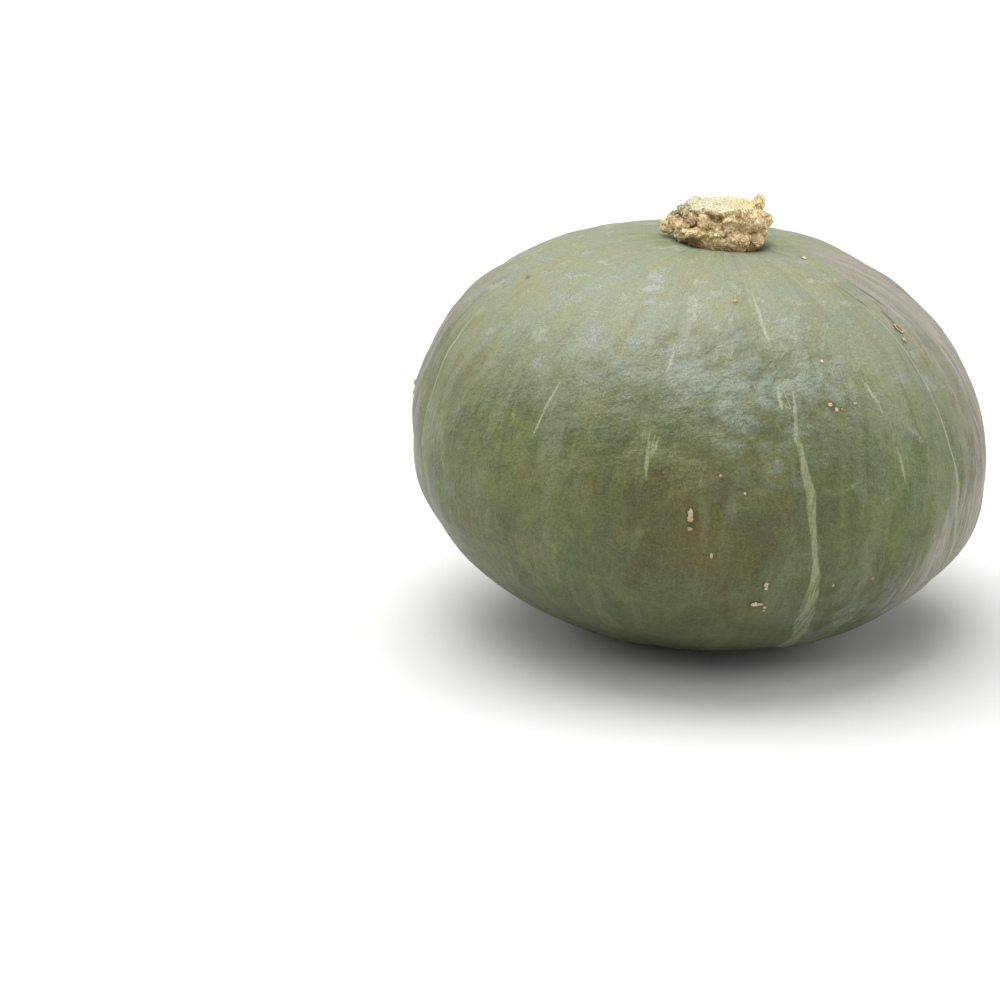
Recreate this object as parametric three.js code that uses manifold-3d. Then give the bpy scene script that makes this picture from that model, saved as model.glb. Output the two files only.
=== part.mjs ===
// A whole kabocha squash, standing on its blossom end, with the corky stub of its stem.
// Millimetres, +Z up. The origin is the middle of the footprint, on the surface it stands on,
// and the fruit's front faces -Y.

import * as THREE from 'three';
import { mergeVertices } from 'three/addons/utils/BufferGeometryUtils.js';
import Module from 'manifold-3d';

const wasm = await Module();
wasm.setup();

// The fruit's outline is two half ovals that meet at the girth, its widest section.
// A height power above 2 squares the outline off, and a reach power above 2 flattens its end.
const GIRTH_RADIUS = 95;
const CROWN = { rise: 67.8, heightPower: 1.89, reachPower: 2.51 };
const BASE = { rise: 68.8, heightPower: 2.4, reachPower: 1.57 };

// A shallow hollow holds the stem, and a deeper one the blossom scar.
const STEM_HOLLOW = { depth: 2.2, radius: 20 };
const BLOSSOM_HOLLOW = { depth: 7.5, radius: 16 };
const BLOSSOM_BUTTON = { rise: 1.6, radius: 6.5, edgePower: 4 };

// The fruit grew a little lopsided, so it leans to its right, and it is worn flat where it rests.
const LEAN = THREE.MathUtils.degToRad(5.6);
const RESTING_FLAT = 2.6;

// Furrows run from end to end. Each has its azimuth at the girth, in degrees from the front to the
// right, and some drift round the fruit on their way, by so many degrees for each mm of height.
const FURROWS = [
  { azimuth: -76, drift: 0 },
  { azimuth: -37, drift: 0 },
  { azimuth: -13, drift: 0 },
  { azimuth: 18.8, drift: -0.19 },
  { azimuth: 37, drift: -0.06 },
  { azimuth: 58.5, drift: -0.08 },
  { azimuth: 82, drift: 0.05 },
  { azimuth: 111, drift: 0 },
  { azimuth: 142, drift: 0.06 },
  { azimuth: 171, drift: 0.04 },
  { azimuth: 199, drift: -0.05 },
  { azimuth: 227, drift: -0.06 },
  { azimuth: 256, drift: 0 },
];

// The ribs between them arch highest at the girth and fade out towards both ends.
const RIBS = { rise: 1.6, archPower: 0.75, endFade: 1.3, lowerFade: 0.45, steps: 6 };

// Rings of the skin from end to end, set closer together near the two ends.
const RINGS = 44;
const END_CROWDING = 0.6;

// Broad swells and dents of the flesh: azimuth, height from the girth, reach and rise.
const SWELLS = [
  { azimuth: -119, height: 49, reach: 18, rise: -0.5 },
  { azimuth: -107, height: 33, reach: 30, rise: 1.1 },
  { azimuth: -88, height: 38, reach: 24, rise: 0.7 },
  { azimuth: -90, height: -8, reach: 26, rise: -1.3 },
  { azimuth: 144, height: 62, reach: 17, rise: 1.1 },
  { azimuth: 105, height: 41, reach: 16, rise: -0.8 },
  { azimuth: 122, height: 58, reach: 15, rise: 0.5 },
  { azimuth: 83, height: -10, reach: 20, rise: 0.9 },
  { azimuth: 70, height: 14, reach: 24, rise: 0.6 },
  { azimuth: 57, height: -27, reach: 12, rise: 0.9 },
  { azimuth: 34, height: -47, reach: 15, rise: 1.5 },
  { azimuth: 68, height: -41, reach: 14, rise: -0.9 },
  { azimuth: 8, height: 22, reach: 26, rise: 0.7 },
  { azimuth: -28, height: 40, reach: 22, rise: -0.5 },
  { azimuth: 180, height: 14, reach: 28, rise: 0.8 },
  { azimuth: 205, height: -30, reach: 24, rise: -0.8 },
  { azimuth: -90, height: -62, reach: 30, rise: 3.2 },
];

// The skin is faintly uneven all over: slow waves in several directions, each with its length.
const WAVES = [
  { along: [0.8, 0.5, 0.3], length: 46, rise: 0.28, phase: 0.4 },
  { along: [-0.4, 0.9, 0.2], length: 37, rise: 0.24, phase: 2.1 },
  { along: [0.2, -0.5, 0.85], length: 29, rise: 0.2, phase: 4.0 },
  { along: [0.7, 0.1, -0.7], length: 23, rise: 0.16, phase: 1.3 },
  { along: [-0.6, -0.6, 0.5], length: 19, rise: 0.13, phase: 5.2 },
];

// The stem stands on the fruit's axis: a collar, and on it a drum of cork that leans back to the
// left. Both outlines are [radius, height] pairs, and the collar starts sunk below the stem's foot.
const COLLAR = [[0, -3], [12.7, -3], [13.9, 0.6], [13.5, 3], [11.7, 4.2], [0, 4.2]];
const DRUM = [[0, 0], [11.4, 0], [11.9, 6.7], [12, 10.6], [11.6, 14.6], [0, 14.6]];
const DRUM_LEAN = THREE.MathUtils.degToRad(-10);
const STEM_SIDES = 36;
const STEM_GAP = 0.45;
const SEAT_SHARES = [0.05, 0.03, 0.016, 0.006, 0];
const SEAT_DEPTH = 6;

// Knobs of cork: the middle of each and its half lengths, from the middle of the stem's foot.
const KNOBS = [
  { centre: [-18.1, -1.0, 4.1], radii: [2.6, 2.6, 2.5] },
  { centre: [-15.6, -2.4, 6.2], radii: [3.2, 3.2, 2.9] },
  { centre: [-12.6, -1.5, 10.0], radii: [2.9, 5.2, 3.4] },
  { centre: [-13.2, -7.0, 5.4], radii: [3.1, 3.2, 3.2] },
  { centre: [-11.4, -7.8, 9.0], radii: [2.8, 2.6, 2.4] },
  { centre: [-6.6, -9.8, 8.2], radii: [3.4, 2.8, 2.6] },
  { centre: [-8.8, -11.0, 4.3], radii: [5.2, 2.5, 2.0] },
  { centre: [-2.6, -11.6, 4.9], radii: [3.2, 2.4, 2.0] },
  { centre: [0.9, -10.7, 8.1], radii: [3.0, 3.1, 3.9] },
  { centre: [2.8, -11.4, 4.2], radii: [2.7, 2.6, 2.4] },
  { centre: [7.2, -7.0, 9.2], radii: [5.3, 4.7, 4.7] },
  { centre: [12.3, -2.4, 8.8], radii: [2.6, 3.9, 3.9] },
  { centre: [6.6, -10.4, 3.9], radii: [2.8, 2.6, 2.2] },
  { centre: [10.4, -7.6, 3.4], radii: [3.2, 3.2, 2.4] },
  { centre: [9.4, 1.0, 10.8], radii: [3.2, 3.4, 2.6] },
  { centre: [-8.0, -7.0, 11.6], radii: [5.0, 3.4, 1.6] },
  { centre: [-1.4, -8.6, 11.7], radii: [5.0, 3.0, 1.4] },
  { centre: [-12.6, -5.0, 2.0], radii: [3.4, 4.2, 2.4] },
];

// The top was cut off level in a shallow dish, with a pit of dried pith, and a horn stands past it.
const CUT_FACE = { centre: [-9.3, 0.4, 23.4], radii: [30, 30, 12] };
const PITH = { centre: [-1.4, -2.4, 11.8], radii: [1.6, 1.2, 1.7] };
const HORN = { centre: [10.7, 0.6, 13.9], radii: [2.4, 2.4, 3] };

// More knobs go round the back in two rows, with a little seeded play in place and size.
const BACK_KNOBS = { first: 66, last: 276, perRow: 9, ringRadius: 11.4, rowHeights: [4.2, 9.2], radius: 3.3 };
const PLAY = { azimuth: 9, radius: 1.6, height: 1.8, size: 1.4, seed: 20571 };

function seededDraws(seed) {
  let state = seed;
  return () => {
    state = (state * 48271) % 2147483647;
    return state / 2147483647;
  };
}

// Azimuth 0 is the front, -Y, and it grows towards the right, +X.
function onCircle(azimuthDegrees, radius) {
  const turn = THREE.MathUtils.degToRad(azimuthDegrees);
  return [radius * Math.sin(turn), -radius * Math.cos(turn)];
}

// The radius of the bare outline at a height above or below the girth.
function radiusAt(height) {
  const half = height >= 0 ? CROWN : BASE;
  const inside = Math.max(0, 1 - Math.abs(height / half.rise) ** half.heightPower);
  return GIRTH_RADIUS * inside ** (1 / half.reachPower);
}

// The outline from the stem end, share 0, to the blossom end, share 1, before any relief.
function outline(share) {
  const level = Math.cos(Math.PI * share);
  const height = level * (level >= 0 ? CROWN.rise : BASE.rise);
  return { radius: radiusAt(height), height };
}

// The hollows at the two ends lower the stem end and raise the blossom end.
function endHollows(radius, height) {
  if (height > 0) {
    return -STEM_HOLLOW.depth * Math.exp(-((radius / STEM_HOLLOW.radius) ** 2));
  }
  const hollow = BLOSSOM_HOLLOW.depth * Math.exp(-((radius / BLOSSOM_HOLLOW.radius) ** 2));
  const inButton = Math.exp(-((radius / BLOSSOM_BUTTON.radius) ** BLOSSOM_BUTTON.edgePower));
  return hollow - BLOSSOM_BUTTON.rise * inButton;
}

// How far the skin stands out from the bare outline at a point: ribs, swells and slow waves.
function relief(point, ribShare) {
  const radius = Math.hypot(point.x, point.y);
  const fullness = Math.min(1, radius / GIRTH_RADIUS);
  const arch = Math.sin(Math.PI * ribShare) ** RIBS.archPower;
  const below = Math.max(0, -point.z / BASE.rise);
  let rise = -RIBS.rise * (1 - arch) * fullness ** RIBS.endFade * (1 - RIBS.lowerFade * below);
  for (const swell of SWELLS) {
    const [x, y] = onCircle(swell.azimuth, radiusAt(swell.height));
    const away = point.distanceTo(new THREE.Vector3(x, y, swell.height));
    rise += swell.rise * Math.exp(-((away / swell.reach) ** 2));
  }
  for (const wave of WAVES) {
    const travel = point.x * wave.along[0] + point.y * wave.along[1] + point.z * wave.along[2];
    rise += wave.rise * fullness * Math.sin((2 * Math.PI * travel) / wave.length + wave.phase);
  }
  return rise;
}

// One point of the skin, in the frame of the fruit's own axis, whose origin is at the girth.
function skinPoint({ azimuth, drift, ribShare }, share) {
  const { radius, height } = outline(share);
  const [x, y] = onCircle(azimuth + drift * height, radius);
  const point = new THREE.Vector3(x, y, height);
  const rise = height >= 0 ? CROWN.rise : BASE.rise;
  const outward = new THREE.Vector3(x / GIRTH_RADIUS ** 2, y / GIRTH_RADIUS ** 2, height / rise ** 2);
  point.addScaledVector(outward.normalize(), relief(point, ribShare));
  point.z += endHollows(radius, height);
  return point;
}

// Each rib is cut into the same number of steps, so that every furrow has a line of vertices.
function meridians() {
  const lines = [];
  const firstAgain = { azimuth: FURROWS[0].azimuth + 360, drift: FURROWS[0].drift };
  FURROWS.forEach((start, i) => {
    const end = FURROWS[i + 1] ?? firstAgain;
    for (let step = 0; step < RIBS.steps; step++) {
      const ribShare = step / RIBS.steps;
      const azimuth = THREE.MathUtils.lerp(start.azimuth, end.azimuth, ribShare);
      const drift = THREE.MathUtils.lerp(start.drift, end.drift, ribShare);
      lines.push({ azimuth, drift, ribShare });
    }
  });
  return lines;
}

// Joins rows of points into one closed skin between a first and a last point.
function closedSkin(firstPoint, rows, lastPoint) {
  const positions = [firstPoint, ...rows.flat(), lastPoint].flatMap((p) => [p.x, p.y, p.z]);
  const around = rows[0].length;
  const last = positions.length / 3 - 1;
  const at = (row, i) => 1 + row * around + (i % around);
  const faces = [];
  for (let i = 0; i < around; i++) {
    faces.push(0, at(0, i), at(0, i + 1));
    for (let row = 0; row + 1 < rows.length; row++) {
      faces.push(at(row, i), at(row + 1, i), at(row + 1, i + 1));
      faces.push(at(row, i), at(row + 1, i + 1), at(row, i + 1));
    }
    faces.push(last, at(rows.length - 1, i + 1), at(rows.length - 1, i));
  }
  const geometry = new THREE.BufferGeometry();
  geometry.setAttribute('position', new THREE.Float32BufferAttribute(positions, 3));
  geometry.setIndex(faces);
  return geometry;
}

// Presses the leaned fruit down onto its resting flat. Height is measured along the true upright,
// seen in the fruit's own frame.
function pressFlat(points) {
  const upright = new THREE.Vector3(0, 0, 1).applyAxisAngle(new THREE.Vector3(0, 1, 0), -LEAN);
  const floor = Math.min(...points.map((p) => p.dot(upright))) + RESTING_FLAT;
  for (const point of points) {
    point.addScaledVector(upright, Math.max(0, floor - point.dot(upright)));
  }
  return floor;
}

function fruitSkin() {
  const lines = meridians();
  const rows = [];
  for (let ring = 1; ring < RINGS; ring++) {
    const even = ring / RINGS;
    const share = even - (END_CROWDING * Math.sin(2 * Math.PI * even)) / (2 * Math.PI);
    rows.push(lines.map((line) => skinPoint(line, share)));
  }
  const stemEnd = skinPoint(lines[0], 0);
  const blossomEnd = skinPoint(lines[0], 1);
  const floor = pressFlat([stemEnd, ...rows.flat(), blossomEnd]);
  return { geometry: closedSkin(stemEnd, rows, blossomEnd), stemEnd, floor };
}

function asSolid(geometry) {
  const bare = geometry.clone();
  bare.deleteAttribute('normal');
  bare.deleteAttribute('uv');
  const merged = mergeVertices(bare, 1e-4);
  const vertProperties = new Float32Array(merged.attributes.position.array);
  const triVerts = new Uint32Array(merged.index.array);
  return new wasm.Manifold(new wasm.Mesh({ numProp: 3, vertProperties, triVerts }));
}

function asGeometry(solid) {
  const mesh = solid.getMesh();
  const geometry = new THREE.BufferGeometry();
  geometry.setAttribute('position', new THREE.BufferAttribute(mesh.vertProperties, 3));
  geometry.setIndex(new THREE.BufferAttribute(mesh.triVerts, 1));
  return geometry;
}

// A rounded lump with the given middle and half lengths. More detail gives it more facets.
function lump({ centre, radii }, detail) {
  const geometry = new THREE.IcosahedronGeometry(1, detail);
  geometry.scale(...radii);
  geometry.translate(...centre);
  return asSolid(geometry);
}

// A round body turned about Z from a profile of [radius, height] pairs that ends on the axis.
function turned(profile, lean = 0) {
  const points = profile.map(([radius, height]) => new THREE.Vector2(radius, height));
  const geometry = new THREE.LatheGeometry(points, STEM_SIDES);
  geometry.rotateX(Math.PI / 2);
  geometry.rotateY(lean);
  return asSolid(geometry);
}

function backKnobs() {
  const draw = seededDraws(PLAY.seed);
  const play = (size) => size * (draw() - 0.5);
  const step = (BACK_KNOBS.last - BACK_KNOBS.first) / (BACK_KNOBS.perRow - 1);
  const knobs = [];
  BACK_KNOBS.rowHeights.forEach((height, row) => {
    for (let i = 0; i < BACK_KNOBS.perRow; i++) {
      const azimuth = BACK_KNOBS.first + step * (i + 0.5 * row) + play(PLAY.azimuth);
      const [x, y] = onCircle(azimuth, BACK_KNOBS.ringRadius + play(PLAY.radius));
      const centre = [x, y, height + play(PLAY.height)];
      knobs.push({ centre, radii: [0, 1, 2].map(() => BACK_KNOBS.radius + play(PLAY.size)) });
    }
  });
  return knobs;
}

// What the fruit's crown takes up under the stem, with the gap that the stem keeps above it.
function seatSolid(footHeight) {
  const crown = SEAT_SHARES.map((share) => {
    const { radius, height } = outline(share);
    return [radius, height + endHollows(radius, height) - footHeight + STEM_GAP];
  });
  return turned([[0, -SEAT_DEPTH], [crown[0][0], -SEAT_DEPTH], ...crown]);
}

// The stem is built from its foot up, then cut off at the top and trimmed to the fruit.
function stemSolid(footHeight) {
  let stem = turned(COLLAR).add(turned(DRUM, DRUM_LEAN));
  for (const knob of KNOBS) {
    stem = stem.add(lump(knob, 2));
  }
  for (const knob of backKnobs()) {
    stem = stem.add(lump(knob, 1));
  }
  stem = stem.subtract(lump(CUT_FACE, 5)).subtract(lump(PITH, 1)).add(lump(HORN, 2));
  return stem.subtract(seatSolid(footHeight));
}

const fruitMaterial = new THREE.MeshStandardMaterial({ color: 0x6f7a58, roughness: 0.45, metalness: 0 });
const stemMaterial = new THREE.MeshStandardMaterial({ color: 0xc4aa7a, roughness: 0.9, metalness: 0 });

const skin = fruitSkin();
const fruitMesh = new THREE.Mesh(skin.geometry, fruitMaterial);
fruitMesh.name = 'fruit';

const stemMesh = new THREE.Mesh(asGeometry(stemSolid(skin.stemEnd.z)), stemMaterial);
stemMesh.name = 'stem';
stemMesh.position.z = skin.stemEnd.z;

// The grown squash leans about Y, and its resting flat lies at height 0.
const grown = new THREE.Group();
grown.add(fruitMesh, stemMesh);
grown.rotation.y = LEAN;
grown.position.z = -skin.floor;

// The origin goes to the middle of the footprint.
const squash = new THREE.Group();
squash.add(grown);
squash.updateMatrixWorld(true);
const middle = new THREE.Box3().setFromObject(squash, true).getCenter(new THREE.Vector3());
grown.position.x -= middle.x;
grown.position.y -= middle.y;

export default squash;
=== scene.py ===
# %% [markdown]
# # A kabocha squash
# This lesson gives a whole kabocha squash its looks: a squat, ribbed, grey-green fruit with a dusty
# bloom, and the corky stub of its stem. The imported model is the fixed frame. It says where the
# fruit and the stem are, and nothing here moves or resizes them. Both get a finer surface of the
# same form, because a rind and a lump of cork are all small relief.

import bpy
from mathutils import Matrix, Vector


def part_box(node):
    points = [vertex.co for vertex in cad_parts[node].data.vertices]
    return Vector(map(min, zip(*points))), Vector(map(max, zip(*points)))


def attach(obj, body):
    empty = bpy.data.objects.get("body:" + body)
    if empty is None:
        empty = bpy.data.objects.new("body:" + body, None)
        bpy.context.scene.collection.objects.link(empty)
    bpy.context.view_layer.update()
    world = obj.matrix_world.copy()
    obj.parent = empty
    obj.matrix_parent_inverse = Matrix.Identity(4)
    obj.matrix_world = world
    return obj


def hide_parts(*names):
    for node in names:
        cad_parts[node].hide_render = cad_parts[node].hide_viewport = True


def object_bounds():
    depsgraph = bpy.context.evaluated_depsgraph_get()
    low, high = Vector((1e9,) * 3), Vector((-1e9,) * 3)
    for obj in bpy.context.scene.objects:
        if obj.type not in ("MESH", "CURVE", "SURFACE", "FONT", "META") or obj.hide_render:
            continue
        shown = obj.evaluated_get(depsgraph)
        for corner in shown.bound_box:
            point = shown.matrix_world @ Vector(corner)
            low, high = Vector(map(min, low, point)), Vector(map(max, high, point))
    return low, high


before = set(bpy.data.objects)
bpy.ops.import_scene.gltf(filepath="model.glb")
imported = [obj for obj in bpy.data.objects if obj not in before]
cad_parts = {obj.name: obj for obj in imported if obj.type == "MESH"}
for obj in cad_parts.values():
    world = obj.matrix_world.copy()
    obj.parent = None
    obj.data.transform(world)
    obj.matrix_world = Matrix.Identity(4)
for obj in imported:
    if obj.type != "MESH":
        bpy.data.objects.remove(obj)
cad_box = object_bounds()
print("nodes", sorted(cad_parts), "box", cad_box)

# %% [markdown]
# ## Sizes and random relief
# Sizes in this script are millimetres, and Blender wants metres, so every mesh is scaled by MM
# when it is made. Natural surfaces are uneven at many sizes at once. The function below is
# gradient noise: a random slope sits at each corner of a lattice, and the slopes are blended in
# between. It takes a whole array of points in one go, and a seed makes it the same each run.

# %% Random relief
import itertools
import math

import bpy
import numpy as np
from mathutils import Vector

MM = 0.001
NOISE_GAIN = 1.7


def noise(points, length, seed):
    """Smooth random values from about -1 to 1, with features as long as length or lengths."""
    draw = np.random.default_rng(seed)
    order = draw.permutation(256)
    slopes = draw.normal(size=(256, 3))
    slopes = (slopes / np.linalg.norm(slopes, axis=1, keepdims=True)).astype(np.float32)
    scaled = (points / np.asarray(length)).astype(np.float32)
    cell = np.floor(scaled).astype(int)
    inside = scaled - cell
    ease = inside**3 * (inside * (inside * 6 - 15) + 10)
    total = np.zeros(len(points), np.float32)
    for corner in itertools.product((0, 1), repeat=3):
        at = (cell + corner) & 255
        pick = slopes[order[(order[(order[at[:, 0]] + at[:, 1]) & 255] + at[:, 2]) & 255]]
        share, climb = 1, 0
        for k in range(3):
            share = share * (ease[:, k] if corner[k] else 1 - ease[:, k])
            climb = climb + (inside[:, k] - corner[k]) * pick[:, k]
        total += share * climb
    return total * NOISE_GAIN


print("noise spans", noise(np.random.default_rng(1).uniform(0, 99, (9999, 3)), 9, 1).min())

# %% [markdown]
# ## The form of the fruit
# The fruit is a squat body with thirteen shallow ribs, and the furrows between them drift a little
# on their way from end to end. It could be sculpted by hand, but a formula is easier to keep in
# step with the solid model. So these are the same driving dimensions and the same sums as there:
# two half ovals that meet at the girth, an arch for each rib, and a few broad swells and waves.

# %% Driving dimensions of the fruit
GIRTH_RADIUS = 95
CROWN = {"rise": 67.8, "height_power": 1.89, "reach_power": 2.51}
BASE = {"rise": 68.8, "height_power": 2.4, "reach_power": 1.57}
STEM_HOLLOW = {"depth": 2.2, "radius": 20}
BLOSSOM_HOLLOW = {"depth": 7.5, "radius": 16}
BLOSSOM_BUTTON = {"rise": 1.6, "radius": 6.5, "edge_power": 4}
LEAN = math.radians(5.6)
RESTING_FLAT = 2.6
RIBS = {"rise": 1.6, "arch_power": 0.75, "end_fade": 1.3, "lower_fade": 0.45}
END_CROWDING = 0.6

# Azimuth at the girth in degrees from the front to the right, and drift in degrees for each mm up.
FURROWS = [
    (-76, 0), (-37, 0), (-13, 0), (18.8, -0.19), (37, -0.06), (58.5, -0.08), (82, 0.05),
    (111, 0), (142, 0.06), (171, 0.04), (199, -0.05), (227, -0.06), (256, 0),
]

# Azimuth, height from the girth, reach and rise of each broad swell or dent.
SWELLS = [
    (-119, 49, 18, -0.5), (-107, 33, 30, 1.1), (-88, 38, 24, 0.7), (-90, -8, 26, -1.3),
    (144, 62, 17, 1.1), (105, 41, 16, -0.8), (122, 58, 15, 0.5), (83, -10, 20, 0.9),
    (70, 14, 24, 0.6), (57, -27, 12, 0.9), (34, -47, 15, 1.5), (68, -41, 14, -0.9),
    (8, 22, 26, 0.7), (-28, 40, 22, -0.5), (180, 14, 28, 0.8), (205, -30, 24, -0.8),
    (-90, -62, 30, 3.2),
]

# Direction, length, rise and phase of each slow wave.
WAVES = [
    ((0.8, 0.5, 0.3), 46, 0.28, 0.4), ((-0.4, 0.9, 0.2), 37, 0.24, 2.1),
    ((0.2, -0.5, 0.85), 29, 0.2, 4.0), ((0.7, 0.1, -0.7), 23, 0.16, 1.3),
    ((-0.6, -0.6, 0.5), 19, 0.13, 5.2),
]


def on_circle(azimuth, radius):
    """The x and y of a point at an azimuth in degrees, which is 0 at the front, -Y."""
    turn = np.radians(azimuth)
    return np.stack([radius * np.sin(turn), -radius * np.cos(turn)], axis=-1)


def half_value(height, name):
    """A value of the half oval that a height belongs to."""
    return np.where(height >= 0, CROWN[name], BASE[name])


def radius_at(height):
    """The bare outline's radius at a height above or below the girth."""
    drop = np.abs(height / half_value(height, "rise")) ** half_value(height, "height_power")
    return GIRTH_RADIUS * np.clip(1 - drop, 0, None) ** (1 / half_value(height, "reach_power"))


def on_outline(azimuth, height):
    """Points of the bare outline, in the frame of the fruit's own axis."""
    height = np.asarray(height, float)
    return np.concatenate([on_circle(azimuth, radius_at(height)), height[..., None]], axis=-1)


def near(points, azimuth, height, reach):
    """A soft patch round a place on the fruit: 1 in its middle and 0 well outside its reach."""
    away = np.linalg.norm(points - on_outline(azimuth, height), axis=1)
    return np.exp(-((away / reach) ** 2))


print("girth", 2 * radius_at(np.array(0.0)), "mm across")

# %% [markdown]
# ## A fine grid of skin
# The skin is a grid of rings and meridians. Each rib gets the same number of meridians, so a line
# of points runs along every furrow, and the rings crowd together near the two ends, where the form
# turns quickly. With about 1.4 mm between points the grid can carry real dimples and pleats, and
# it stays under 200,000 triangles.

# %% Lay out rings and meridians
STEPS_PER_RIB = 33
RINGS = 216

starts = np.array(FURROWS, float)
ends = np.vstack([starts[1:], starts[0] + [360, 0]])
step_share = np.arange(STEPS_PER_RIB) / STEPS_PER_RIB
lines = (starts[:, None] + (ends - starts)[:, None] * step_share[None, :, None]).reshape(-1, 2)
rib_share = np.tile(step_share, len(FURROWS))

even = np.arange(RINGS + 1) / RINGS
level = np.cos(math.pi * (even - END_CROWDING * np.sin(2 * math.pi * even) / (2 * math.pi)))
ring_height = level * half_value(level, "rise")
ring_radius = radius_at(ring_height)
ring_steps = np.hypot(np.diff(ring_radius), np.diff(ring_height))
ring_along = np.concatenate([[0], np.cumsum(ring_steps)])


def over_grid(ring_values, line_values=0.0):
    """Spreads values of the rings and meridians over the grid, with one point at each end."""
    grid = ring_values[:, None] + np.zeros(len(lines)) + line_values
    return np.concatenate([grid[0, :1], grid[1:-1].ravel(), grid[-1, :1]])


height = over_grid(ring_height)
radius = over_grid(ring_radius)
along = over_grid(ring_along)
arch_share = over_grid(np.zeros(RINGS + 1), rib_share)
azimuth = over_grid(np.zeros(RINGS + 1), lines[:, 0]) + height * over_grid(np.zeros(RINGS + 1), lines[:, 1])
bare = on_outline(azimuth, height)
print(len(bare), "points of skin;", round(ring_along[-1]), "mm from end to end")

# %% [markdown]
# ## Ribs, swells and waves
# The broad relief lifts or lowers the skin along the outward direction of the oval. The ends are
# hollowed for the stem and the blossom scar. These sums give the form that the solid has.

# %% Broad relief
rise = half_value(height, "rise")
outward = bare / np.stack([np.full(len(bare), GIRTH_RADIUS**2)] * 2 + [rise**2], axis=-1)
outward /= np.linalg.norm(outward, axis=1, keepdims=True)

fullness = radius / GIRTH_RADIUS
arch = np.sin(math.pi * arch_share) ** RIBS["arch_power"]
below = np.clip(-height / BASE["rise"], 0, None)
relief = -RIBS["rise"] * (1 - arch) * fullness ** RIBS["end_fade"] * (1 - RIBS["lower_fade"] * below)
for swell_azimuth, swell_height, reach, swell_rise in SWELLS:
    relief += swell_rise * near(bare, swell_azimuth, swell_height, reach)
for direction, length, wave_rise, phase in WAVES:
    relief += wave_rise * fullness * np.sin(2 * math.pi * (bare @ direction) / length + phase)

stem_hollow = -STEM_HOLLOW["depth"] * np.exp(-((radius / STEM_HOLLOW["radius"]) ** 2))
button = np.exp(-((radius / BLOSSOM_BUTTON["radius"]) ** BLOSSOM_BUTTON["edge_power"]))
blossom_hollow = BLOSSOM_HOLLOW["depth"] * np.exp(-((radius / BLOSSOM_HOLLOW["radius"]) ** 2))
blossom_hollow -= BLOSSOM_BUTTON["rise"] * button
end_lift = np.where(height > 0, stem_hollow, blossom_hollow)
print("relief", relief.min().round(2), "to", relief.max().round(2), "mm")

# %% [markdown]
# ## Hammered dimples, wrinkles and pleats
# Up close the rind looks hammered: soft dents 5 to 10 mm wide, and between them slanting wrinkles
# where the skin set as it dried. Fine pleats run out from the stem. A bump map could fake these,
# but they are wide enough to catch the light, so they are real relief here. The noise is laid on an
# unrolled copy of the skin, in which one direction runs round the fruit and the other along it.
# Stretching that copy turns round dents into wrinkles or pleats, and skewing it makes them slant.

# %% Fine relief
SLANT = 33

unrolled = np.column_stack([on_circle(azimuth, GIRTH_RADIUS), along])
slanted = unrolled + np.column_stack([0 * azimuth, 0 * azimuth, SLANT * np.sin(np.radians(azimuth))])

# Azimuth, height, reach and strength of the places that are most hammered.
HAMMERED = [
    (3, 34, 30, 1.0), (16, 12, 26, 0.8), (24, 40, 18, 0.7), (2, 10, 22, 0.5), (-20, 16, 28, 0.6),
    (46, 20, 24, 0.5), (40, -30, 24, 0.6), (120, 20, 34, 0.8), (190, 30, 36, 0.9), (250, 8, 32, 0.8),
    (-60, 20, 26, 0.5),
]
HAMMER_LEAST = 0.25
UNDULATION = {"length": 19, "rise": 0.34}
DENT_LENGTHS = {12.0: 0.62, 7.0: 0.5}
WRINKLE = {"lengths": (10, 10, 5.2), "rise": 0.27}
PLEAT = {"lengths": (8, 8, 90), "rise": 0.1, "reach": 34}
STREAK = {"lengths": (4.2, 4.2, 60), "rise": 0.05}
STEM_CREASE = {"depth": 0.5, "radius": 13.6, "reach": 1.9}
PROUD_SHARE = 0.4
CALM_END = 8

hammer = HAMMER_LEAST + np.clip(sum(strength * near(bare, *place) for *place, strength in HAMMERED), 0, 1)
fine = UNDULATION["rise"] * noise(bare, UNDULATION["length"], 10)
for dent_length, dent_rise in DENT_LENGTHS.items():
    fine += dent_rise * hammer * noise(bare, dent_length, 11)
fine += WRINKLE["rise"] * hammer * noise(slanted, WRINKLE["lengths"], 12)
near_stem = np.where(height > 0, np.exp(-((radius / PLEAT["reach"]) ** 2)), 0)
fine += PLEAT["rise"] * near_stem * noise(unrolled, PLEAT["lengths"], 13)
fine += STREAK["rise"] * noise(unrolled, STREAK["lengths"], 14)
fine = np.where(fine > 0, PROUD_SHARE * fine, fine) * np.clip(radius / CALM_END, 0, 1)
crease_gap = (radius - STEM_CREASE["radius"]) / STEM_CREASE["reach"]
fine -= np.where(height > 0, STEM_CREASE["depth"] * np.exp(-(crease_gap**2)), 0)
print("fine relief", fine.min().round(2), "to", fine.max().round(2), "mm")

# %% [markdown]
# ## Stand the fruit up
# The fruit leans 5.6 degrees to its right and is worn flat where it rests. The grid is turned by
# the lean, pressed down on its flat, and put where the frame has the fruit. The fine grid finds
# high points between those of the solid, so it is drawn in by a hair until it fits the solid's box.

# %% Lean, press and place
turn = np.array([[math.cos(LEAN), 0, math.sin(LEAN)], [0, 1, 0], [-math.sin(LEAN), 0, math.cos(LEAN)]])


def stood(lift):
    """The skin with a relief on it, leaned and pressed on its flat, and the height of its girth."""
    grown = bare + outward * lift[:, None]
    grown[:, 2] += end_lift
    grown = grown @ turn.T
    floor = grown[:, 2].min() + RESTING_FLAT
    grown[:, 2] = np.maximum(grown[:, 2], floor) - floor
    return grown, -floor


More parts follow.
